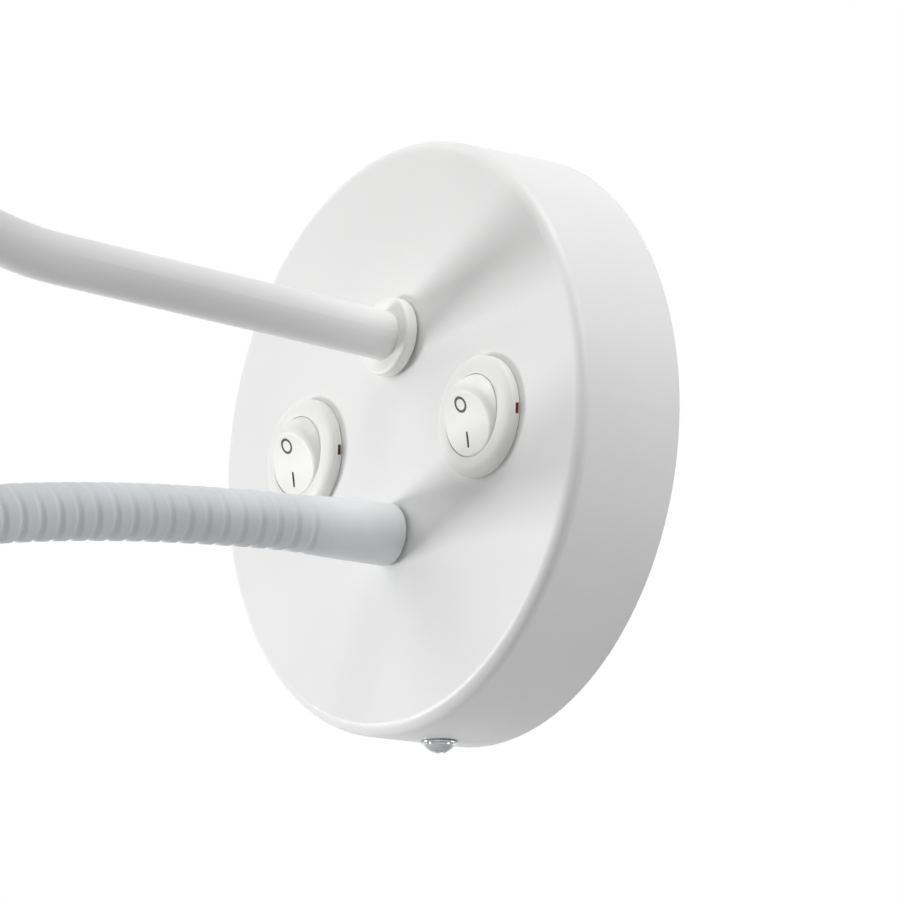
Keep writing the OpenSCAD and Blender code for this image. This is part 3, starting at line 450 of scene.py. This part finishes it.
def rocker(side):
    """Ball cut by the hollow face: rings of the face, its softened edge, the side and a stem."""
    angle = np.arange(ROCKER_COLUMNS) * TURN / ROCKER_COLUMNS
    # The edge lies where ball and face meet: each round puts the last answer in again
    edge = np.full(ROCKER_COLUMNS, EDGE_GUESS)
    for _ in range(EDGE_ROUNDS):
        edge = np.sqrt(ROCKER_R ** 2 - dish(edge * np.sin(angle)) ** 2)
    from_tip = ease(np.sin(angle), *TIP_REACH)
    softness = ROCKER_TIP_EDGE + (ROCKER_EDGE - ROCKER_TIP_EDGE) * from_tip
    share = np.linspace(0, 1, FACE_ROWS)[:, None]
    face_r = share * (edge - softness)
    face = np.stack([face_r, dish(face_r * np.sin(angle))], -1)
    corner = np.stack([edge, dish(edge * np.sin(angle))], -1)
    lean = np.arctan2(corner[:, 1], corner[:, 0]) - softness / ROCKER_R
    side_top = ROCKER_R * np.stack([np.cos(lean), np.sin(lean)], -1)
    t = np.linspace(0, 1, EDGE_ROWS)[1:, None, None]
    curve = (1 - t) ** 2 * face[-1] + 2 * t * (1 - t) * corner + t ** 2 * side_top
    low = math.asin(ROCKER_SKIRT / ROCKER_R)
    fall = lean + np.linspace(0, 1, SIDE_ROWS)[1:, None] * (low - lean)
    ball = ROCKER_R * np.stack([np.cos(fall), np.sin(fall)], -1)
    foot = np.array([[STEM_R, ROCKER_SKIRT], [STEM_R, -STEM_DROP], [0, -STEM_DROP]])
    stem = np.repeat(foot[:, None], ROCKER_COLUMNS, 1)
    r, z = np.moveaxis(np.concatenate([face, curve, ball, stem]), -1, 0)
    points = on_rocker(side, r * np.cos(angle), r * np.sin(angle), z)
    piece = skin(side + "_rocker_cap", points, FINISH["switch_plastic"], loop_rows=False)
    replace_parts(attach(piece, side + "_rocker"), side + "_rocker")


def zero_mark(side):
    """Printed ring: a flat band of ink carried round a circle on the finger face."""
    angle = np.arange(ZERO_COLUMNS) * TURN / ZERO_COLUMNS
    half = ZERO_STROKE / 2
    offset = np.array([-half, half, half, -half])[:, None]
    level = np.array([MARK_LIFT, MARK_LIFT, -MARK_SINK, -MARK_SINK])[:, None]
    x = MARK_SIDE + (ZERO_ACROSS + offset) * np.cos(angle)
    y = ZERO_AT + (ZERO_UP + offset) * np.sin(angle)
    piece = skin(side + "_off_mark", on_rocker(side, x, y, dish(y) + level), MARK_INK)
    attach(piece, side + "_rocker")


def one_mark(side):
    """Printed bar with round ends: a small circle whose two halves are drawn apart."""
    angle = (np.arange(ONE_COLUMNS) + 0.5) * TURN / ONE_COLUMNS
    draw = (ONE_LEN - ONE_STROKE) / 2 * np.sign(np.sin(angle))
    size = np.array([0, ONE_STROKE / 2, ONE_STROKE / 2, 0])[:, None]
    level = np.array([MARK_LIFT, MARK_LIFT, -MARK_SINK, -MARK_SINK])[:, None]
    x = MARK_SIDE + size * np.cos(angle)
    y = ONE_AT + draw + size * np.sin(angle)
    piece = skin(side + "_on_mark", on_rocker(side, x, y, dish(y) + level), MARK_INK)
    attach(piece, side + "_rocker")


# A switch housing has a body in the cover, a flange on a low foot, a domed rim round the opening,
# # a ball-shaped cavity, and a notch at each side with the tongue of a spring clip in it; the
# tongue's
# # dark colour is partly the bronze of the clip and partly painted shade inside the notch
BODY_R, BODY_DEPTH, BODY_FLOOR, BODY_CHAMFER = 10.1, 12.5, 2.0, 0.4
FLANGE_R, FLANGE_TAPER, FLANGE_EDGE, FLANGE_ROUND = 12.0, 0.1, 1.95, 0.15
FOOT_GAP, FOOT_IN = 0.13, 0.4
RIM_H, OPEN_R, RIM_LAND, RIM_LIP = 2.8, 8.2, 1.07, 0.6
DOME_IN, DOME_PULL_R, DOME_PULL_DROP = 0.12, 10.9, 0.12
MOUTH_IN, MOUTH_SLANT, MOUTH_DROP = 0.3, 0.03, 0.25
CAVITY_R, CAVITY_DROP, CAVITY_ROWS = 9.14, 0.3, 14
NOTCH_W, NOTCH_LOW, NOTCH_HIGH, NOTCH_DEPTH = 2.1, 0.2, 1.05, 1.2
# Thickness of a notch's steep walls, as a height and as an angle, and slack for comparing sizes
NOTCH_STEP, NOTCH_TURN, WALL_SLACK, TINY = 0.01, 0.002, 0.05, 1e-9
CLIP_GAP, CLIP_IN, CLIP_SLACK, CLIP_SHARE, CLIP_ROWS = 0.05, 0.35, 0.02, 0.97, 9
BEZEL_COLUMNS = 160


def flange_radius(h):
    """Radius of the flange's wall, which narrows evenly with its height."""
    return FLANGE_R - FLANGE_TAPER * h / FLANGE_EDGE


def housing_profile():
    """Radius and height of a switch housing: body, flange, domed rim, mouth, cavity and floor."""
    pivot = COVER_Y - PIVOTS["left"][1]
    wall_at = np.array([FOOT_GAP, NOTCH_LOW - NOTCH_STEP, NOTCH_LOW, NOTCH_HIGH,
                        NOTCH_HIGH + NOTCH_STEP, FLANGE_EDGE - FLANGE_ROUND])
    wall = np.stack([flange_radius(wall_at), wall_at], -1)
    dome = bezier((FLANGE_R - FLANGE_TAPER - DOME_IN, FLANGE_EDGE),
                  (DOME_PULL_R, RIM_H - DOME_PULL_DROP), (OPEN_R + RIM_LAND, RIM_H), count=24)
    lip = np.array([[OPEN_R + RIM_LIP, RIM_H]])
    mouth = bezier((OPEN_R + MOUTH_IN, RIM_H), (OPEN_R, RIM_H),
                   (OPEN_R + MOUTH_SLANT, RIM_H - MOUTH_DROP), count=6)
    highest = math.asin((RIM_H - CAVITY_DROP - pivot) / CAVITY_R)
    fall = np.linspace(highest, 0, CAVITY_ROWS)
    ball = np.stack([CAVITY_R * np.cos(fall), pivot + CAVITY_R * np.sin(fall)], -1)
    inset = FLANGE_R - FOOT_IN
    foot = [[0, -BODY_DEPTH], [BODY_R - BODY_CHAMFER, -BODY_DEPTH],
            [BODY_R, BODY_CHAMFER - BODY_DEPTH], [BODY_R, 0], [inset, 0], [inset, FOOT_GAP]]
    floor = [[CAVITY_R, BODY_FLOOR - BODY_DEPTH], [0, BODY_FLOOR - BODY_DEPTH]]
    return np.concatenate([foot, wall, dome, lip, mouth, ball, floor])


def on_cover(side, x, z, out):
    """Points given across, up and out from the middle of a switch on the cover's face."""
    return np.stack([PIVOTS[side][0] + x, COVER_Y - out, PIVOTS[side][2] + z], -1)


def switch_housing(side):
    """The profile turned about the switch's axis, with a small square notch sunk at each side."""
    profile = housing_profile()
    half = math.asin(NOTCH_W / 2 / FLANGE_R)
    walls = np.array([-half - NOTCH_TURN, -half, half, half + NOTCH_TURN])
    sides = np.array([0, math.pi])[:, None] + walls
    even = np.arange(BEZEL_COLUMNS) * TURN / BEZEL_COLUMNS
    angle = np.sort(np.concatenate([even, sides.ravel() % TURN]))
    r = np.repeat(profile[:, :1], len(angle), 1)
    h = np.repeat(profile[:, 1:], len(angle), 1)
    near = np.abs(np.sin(angle)) <= math.sin(half) + TINY
    on_wall = r > flange_radius(h) - WALL_SLACK
    band = on_wall & (h > NOTCH_LOW - TINY) & (h < NOTCH_HIGH + TINY)
    r = r - NOTCH_DEPTH * (band & near)
    points = on_cover(side, r * np.cos(angle), r * np.sin(angle), h)
    piece = skin(side + "_switch_bezel", points, FINISH["switch_plastic"],
                 loop_rows=False, sharp=28)
    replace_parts(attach(piece, "base"), side + "_switch_housing")


def switch_clip(side):
    """Tongue of the retaining spring in each notch: a little block with the flange's own curve,
    whose dark bronze is also painted shade of the notch.
    """
    inner, outer = FLANGE_R - NOTCH_DEPTH + CLIP_GAP, FLANGE_R - CLIP_IN
    low, high = NOTCH_LOW + CLIP_SLACK, NOTCH_HIGH - CLIP_SLACK
    half = math.asin(NOTCH_W / 2 / FLANGE_R) * CLIP_SHARE
    section = np.array([[inner, low], [outer, low], [outer, high], [inner, high]])
    for k, place in enumerate((0, math.pi)):
        angle = place + np.linspace(-half, half, CLIP_ROWS)[:, None]
        r, h = np.repeat(section[None], CLIP_ROWS, 0).transpose(2, 0, 1)
        block = on_cover(side, r * np.cos(angle), r * np.sin(angle), h)
        ends = [np.repeat(block[end].mean(0)[None, None], len(section), 1) for end in (0, -1)]
        points = np.concatenate([ends[0], block, ends[1]])
        piece = skin(f"{side}_switch_clip_{k + 1}", points, CLIP_BRONZE_AND_SHADE, loop_rows=False)
        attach(piece, "base")


for side in SIDES:
    rocker(side)
    zero_mark(side)
    one_mark(side)
    switch_housing(side)
    switch_clip(side)


# Arm collar and cover screw

ARM_Z, ARM_RAKE = 20.0, math.radians(3)
COLLAR_R, COLLAR_BORE, COLLAR_LIFT, COLLAR_T = 8.0, 5.03, 0.45, 2.5
COLLAR_EDGE, COLLAR_HEEL, COLLAR_COLUMNS = 0.8, 0.2, 128
SCREW_R, SCREW_LEN, SCREW_TIP, SCREW_OUT = 2.0, 9.0, 0.5, 11.6
HEAD_R, HEAD_FLANGE, HEAD_TOP = 3.7, 0.6, 2.5
HEAD_EDGE, HEAD_HEEL = 0.25, 0.15
WAIST_R, WAIST_H = 2.5, 0.3
CROWN_R, CROWN_ROWS, SCREW_COLUMNS = 3.1, 40, 120
CROSS_W, CROSS_LEN, CROSS_DEPTH = 0.9, 3.0, 1.2
# Half the width of the soft walls at a bar's sides and ends
CROSS_SIDE, CROSS_END = 0.1, 0.2
CROSS_TURN = math.radians(25)


def collar():
    """Ring at the arm's foot: a flat section with round outer corners, about the raked arm."""
    low, high = COLLAR_LIFT, COLLAR_LIFT + COLLAR_T
    inset = COLLAR_R - COLLAR_EDGE
    front = bezier((inset, high), (COLLAR_R, high), (COLLAR_R, high - COLLAR_EDGE), count=8)
    rear = bezier((COLLAR_R, low + COLLAR_HEEL), (COLLAR_R, low),
                  (COLLAR_R - COLLAR_HEEL, low), count=5)
    section = np.concatenate([[(COLLAR_BORE, high)], front, rear, [(COLLAR_BORE, low)]])
    points = turned(*spun(section, COLLAR_COLUMNS), (0, COVER_Y, ARM_Z),
                    (0, -math.cos(ARM_RAKE), math.sin(ARM_RAKE)), (1, 0, 0))
    piece = skin("arm_collar_ring", points, FINISH["collar_plastic"])
    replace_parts(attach(piece, "base"), "arm_collar")


def cross(x, y):
    """1 inside a bar along x with soft walls, 0 outside it."""
    wide = 1 - ease(np.abs(y), CROSS_W / 2 - CROSS_SIDE, CROSS_W / 2 + CROSS_SIDE)
    return wide * (1 - ease(np.abs(x), CROSS_LEN / 2 - CROSS_END, CROSS_LEN / 2 + CROSS_END))


def cover_screw():
    """Shank, round flange, waist and part of a ball, with two crossed bars sunk into its crown."""
    edge = bezier((HEAD_R, HEAD_FLANGE - HEAD_EDGE), (HEAD_R, HEAD_FLANGE),
                  (HEAD_R - HEAD_EDGE, HEAD_FLANGE), count=5)
    low = [(0, -SCREW_LEN), (SCREW_R - SCREW_TIP, -SCREW_LEN), (SCREW_R, SCREW_TIP - SCREW_LEN),
           (SCREW_R, 0), (HEAD_R - HEAD_HEEL, 0), (HEAD_R, HEAD_HEEL), *edge,
           (WAIST_R, HEAD_FLANGE), (WAIST_R, HEAD_FLANGE + WAIST_H)]
    rise = HEAD_TOP - HEAD_FLANGE - WAIST_H
    ball = (CROWN_R ** 2 + rise ** 2) / (2 * rise)
    crown = np.linspace(CROWN_R, 0, CROWN_ROWS)
    dome = np.stack([crown, HEAD_TOP - ball + np.sqrt(ball ** 2 - crown ** 2)], -1)
    r, h = spun(np.concatenate([low, dome]), SCREW_COLUMNS)
    angle = np.arange(SCREW_COLUMNS) * TURN / SCREW_COLUMNS
    x, y = r * np.cos(angle + CROSS_TURN), r * np.sin(angle + CROSS_TURN)
    sunk = CROSS_DEPTH * np.maximum(cross(x, y), cross(y, x))
    sunk[:len(low)] = 0
    foot = (0, -SCREW_OUT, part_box("cover_screw")[0].z / MM + HEAD_TOP)
    piece = skin("cover_screw_head", turned(r, h - sunk, foot, (0, 0, -1), (1, 0, 0)),
                 FINISH["chrome"], loop_rows=False, sharp=50)
    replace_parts(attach(piece, "base"), "cover_screw")


collar()
cover_screw()


# Drum shade

SHADE_LOW, SHADE_HIGH = (np.array(corner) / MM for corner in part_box("shade_skin"))
SHADE_R = (SHADE_HIGH[0] - SHADE_LOW[0]) / 2
SHADE_FOOT = (0, (SHADE_LOW[1] + SHADE_HIGH[1]) / 2, SHADE_LOW[2])
SHADE_H = SHADE_HIGH[2] - SHADE_LOW[2]
CLOTH, SHADE_COLUMNS = 0.3, 360
# A hem shows on the outside, is turned in on the inside, and stands out by a step with a soft fall
HEM_UP, HEM_IN, HEM_STEP, HEM_FALL = 7.0, 2.2, 0.2, 0.8
# Rows are close up to a height past the hem and wide from a height further on
CLOSE_TO, CLOSE_ROWS, WIDE_FROM, WIDE_ROWS = 2, 18, 4, 24
EDGE_UP, EDGE_IN, TUCK_UP, BACK_UP = 0.5, 0.15, 0.4, 0.3
# The lap seam's place is a share of a turn from +X
SEAM_AT, SEAM_WIDE, SEAM_STEP, SEAM_FALL = 0.25, 9.0, 0.25, 0.7
LINER_UP, LINER_GAP, LINER_T, LINER_COLUMNS = 0.6, 0.03, 0.15, 240
RING_BORE, RING_LEAD, RING_LEAD_R = 13.53, 0.6, 14.1
RING_ROUND, RING_HEEL, RING_COLUMNS = 1.2, 0.4, 480
FLUTES, FLUTE_DEPTH, FLUTE_POWER, FLUTE_REACH = 24, 0.9, 4, 1.3


def shade_cover():
    """Linen wrapped once round the drum: hems turned in, and a lap seam towards the wall."""
    hem = np.linspace(EDGE_UP, HEM_UP + CLOSE_TO, CLOSE_ROWS)
    middle = np.linspace(HEM_UP + WIDE_FROM, SHADE_H - HEM_UP - WIDE_FROM, WIDE_ROWS)
    up = np.concatenate([hem, middle, SHADE_H - hem[::-1]])
    high_hem = ease(up, SHADE_H - HEM_UP - HEM_FALL, SHADE_H - HEM_UP)
    step = 1 - ease(up, HEM_UP, HEM_UP + HEM_FALL) + high_hem
    outer = SHADE_R - SEAM_STEP
    inside = outer - HEM_STEP - CLOTH
    within = outer - 4 * CLOTH
    face = np.stack([outer - HEM_STEP * (1 - step), up], -1)
    top = bezier((outer, SHADE_H - EDGE_UP), (outer - EDGE_IN, SHADE_H),
                 (outer - 2 * CLOTH, SHADE_H), count=6)[1:]
    turn_in = [(within, SHADE_H - TUCK_UP), (within, SHADE_H - HEM_IN),
               (within + CLOTH, SHADE_H - HEM_IN)]
    back = [(inside, SHADE_H - HEM_IN - BACK_UP), (inside, HEM_IN + BACK_UP)]
    turn_up = [(within + CLOTH, HEM_IN), (within, HEM_IN), (within, TUCK_UP)]
    low = bezier((outer - 2 * CLOTH, 0), (outer - EDGE_IN, 0), (outer, EDGE_UP), count=6)[:-1]
    r, h = spun(np.concatenate([face, top, turn_in, back, turn_up, low]), SHADE_COLUMNS)
    # The lap stands a quarter of a millimetre proud over a narrow strip behind the drum
    along = (np.arange(SHADE_COLUMNS) / SHADE_COLUMNS - SEAM_AT) * TURN * SHADE_R
    half = SEAM_WIDE / 2
    lap = ease(along, -half - SEAM_FALL, -half) - ease(along, half, half + SEAM_FALL)
    r[:len(face)] += SEAM_STEP * lap
    piece = skin("shade_cover", turned(r, h, SHADE_FOOT, (0, 0, 1), (1, 0, 0)),
                 FINISH["shade_fabric"], sharp=60)
    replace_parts(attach(piece, "base"), "shade_skin")


def shade_liner():
    """Plain film that stiffens the cloth: a thin tube just inside it."""
    high, low = SHADE_H - HEM_IN - LINER_UP, HEM_IN + LINER_UP
    outer = SHADE_R - SEAM_STEP - HEM_STEP - CLOTH - LINER_GAP
    section = [(outer, low), (outer, high), (outer - LINER_T, high), (outer - LINER_T, low)]
    points = turned(*spun(section, LINER_COLUMNS), SHADE_FOOT, (0, 0, 1), (1, 0, 0))
    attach(skin("shade_liner", points, SHADE_LINER), "base")


def clamp_ring():
    """Plastic ring nut that holds the shade down, with finger flutes: powers of a half cosine."""
    low, high = (np.array(corner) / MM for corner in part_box("shade_clamp_ring"))
    outer, tall = (high[0] - low[0]) / 2, high[2] - low[2]
    bore = [(RING_BORE, 0), (RING_BORE, tall - RING_LEAD), (RING_LEAD_R, tall)]
    top = bezier((outer - RING_ROUND, tall), (outer, tall), (outer, tall - RING_ROUND), count=7)
    heel = [(outer, RING_HEEL), (outer - RING_HEEL, 0)]
    r, h = spun(np.concatenate([bore, top, heel]), RING_COLUMNS)
    angle = np.arange(RING_COLUMNS) * TURN / RING_COLUMNS
    flute = (0.5 + 0.5 * np.cos(FLUTES * angle)) ** FLUTE_POWER
    r = np.where(r > outer - FLUTE_REACH, r - FLUTE_DEPTH * flute, r)
    foot = (0, (low[1] + high[1]) / 2, low[2])
    piece = skin("shade_ring_nut", turned(r, h, foot, (0, 0, 1), (1, 0, 0)),
                 FINISH["holder_plastic"])
    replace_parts(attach(piece, "base"), "shade_clamp_ring")


shade_cover()
shade_liner()
clamp_ring()


# Camera at the photograph's viewing angle, for a square frame

VIEW_AZIMUTH, VIEW_ELEVATION, VIEW_ROLL = (math.radians(a) for a in (53.274, -10.653, 1.067))
VIEW_TARGET = Vector((-13.801, 0, 2.317)) * MM
VIEW_DISTANCE = 1002.0 * MM
VIEW_LENS, VIEW_SENSOR = 195.69, 36

back = Vector((math.sin(VIEW_AZIMUTH) * math.cos(VIEW_ELEVATION),
               -math.cos(VIEW_AZIMUTH) * math.cos(VIEW_ELEVATION), math.sin(VIEW_ELEVATION)))
level = Vector((math.cos(VIEW_AZIMUTH), math.sin(VIEW_AZIMUTH), 0))
upright = back.cross(level)
right = math.cos(VIEW_ROLL) * level + math.sin(VIEW_ROLL) * upright
top = math.cos(VIEW_ROLL) * upright - math.sin(VIEW_ROLL) * level
camera = bpy.data.objects.new("camera", bpy.data.cameras.new("camera"))
camera.data.lens = VIEW_LENS
camera.data.sensor_width = VIEW_SENSOR
camera.matrix_world = Matrix.Translation(VIEW_TARGET + back * VIEW_DISTANCE) @ Matrix(
    (right, top, back)).transposed().to_4x4()
bpy.context.scene.collection.objects.link(camera)
bpy.context.scene.camera = camera


# Light: soft boxes all round, a dim room and a white background

LAMP_DISTANCE = 1.6
ROOM_LIGHT = 0.15


def soft_box(name, azimuth, elevation, size, power):
    """A square area lamp aimed at the canopy, from an azimuth and elevation in degrees."""
    a, e = math.radians(azimuth), math.radians(elevation)
    away = Vector((math.sin(a) * math.cos(e), -math.cos(a) * math.cos(e), math.sin(e)))
    lamp = bpy.data.objects.new(name, bpy.data.lights.new(name, "AREA"))
    lamp.data.size = size
    lamp.data.energy = power
    lamp.visible_camera = False
    lamp.location = away * LAMP_DISTANCE
    lamp.rotation_mode = "QUATERNION"
    lamp.rotation_quaternion = away.to_track_quat("Z", "Y")
    bpy.context.scene.collection.objects.link(lamp)


soft_box("key_low_left", azimuth=-42, elevation=-10, size=0.4, power=12.9)
soft_box("front_fill", azimuth=-20, elevation=17, size=0.7, power=5.8)
soft_box("top_front", azimuth=50, elevation=70, size=0.9, power=14.4)
soft_box("side_right", azimuth=90, elevation=35, size=0.7, power=8.2)
soft_box("back_right", azimuth=148, elevation=-8, size=0.7, power=5.6)

world = bpy.data.worlds.new("studio")
world.use_nodes = True
bpy.context.scene.world = world
tree = world.node_tree
path = add(tree, "ShaderNodeLightPath")
seen = path.outputs["Is Camera Ray"]
for ray in ("Is Glossy Ray", "Is Transmission Ray"):
    either = add(tree, "ShaderNodeMath", {0: seen, 1: path.outputs[ray]}, operation="MAXIMUM")
    seen = either.outputs[0]
room = add(tree, "ShaderNodeMix", {0: seen, 6: grey(ROOM_LIGHT), 7: grey(1.0)}, data_type="RGBA")
tree.links.new(room.outputs[2], tree.nodes["Background"].inputs["Color"])


# Floor, with its height, half width and fade in metres

FLOOR_Z, FLOOR_HALF = -0.9, 6
FLOOR_FADE = (0.9, 2.3)


def pale_floor():
    """Matt white studio floor that fades into the white background away from the middle."""
    material, tree, surface, coordinates = shader("pale_floor", {
        "Base Color": linear("#F2F2F2"), "Roughness": 0.9})
    away = add(tree, "ShaderNodeVectorMath", {0: coordinates}, operation="LENGTH")
    solid = add(tree, "ShaderNodeMapRange", {
        "Value": away.outputs["Value"], "From Min": FLOOR_FADE[0], "From Max": FLOOR_FADE[1],
        "To Min": 1.0, "To Max": 0.0}, interpolation_type="SMOOTHSTEP")
    tree.links.new(solid.outputs[0], surface.inputs["Alpha"])
    return material


floor_mesh = bpy.data.meshes.new("floor")
floor_corners = [(x * FLOOR_HALF, y * FLOOR_HALF, FLOOR_Z)
                 for x, y in ((-1, -1), (1, -1), (1, 1), (-1, 1))]
floor_mesh.from_pydata(floor_corners, [], [(0, 1, 2, 3)])
floor = bpy.data.objects.new("floor", floor_mesh)
floor_mesh.materials.append(pale_floor())
bpy.context.scene.collection.objects.link(floor)

bpy.context.scene.view_settings.view_transform = "Standard"
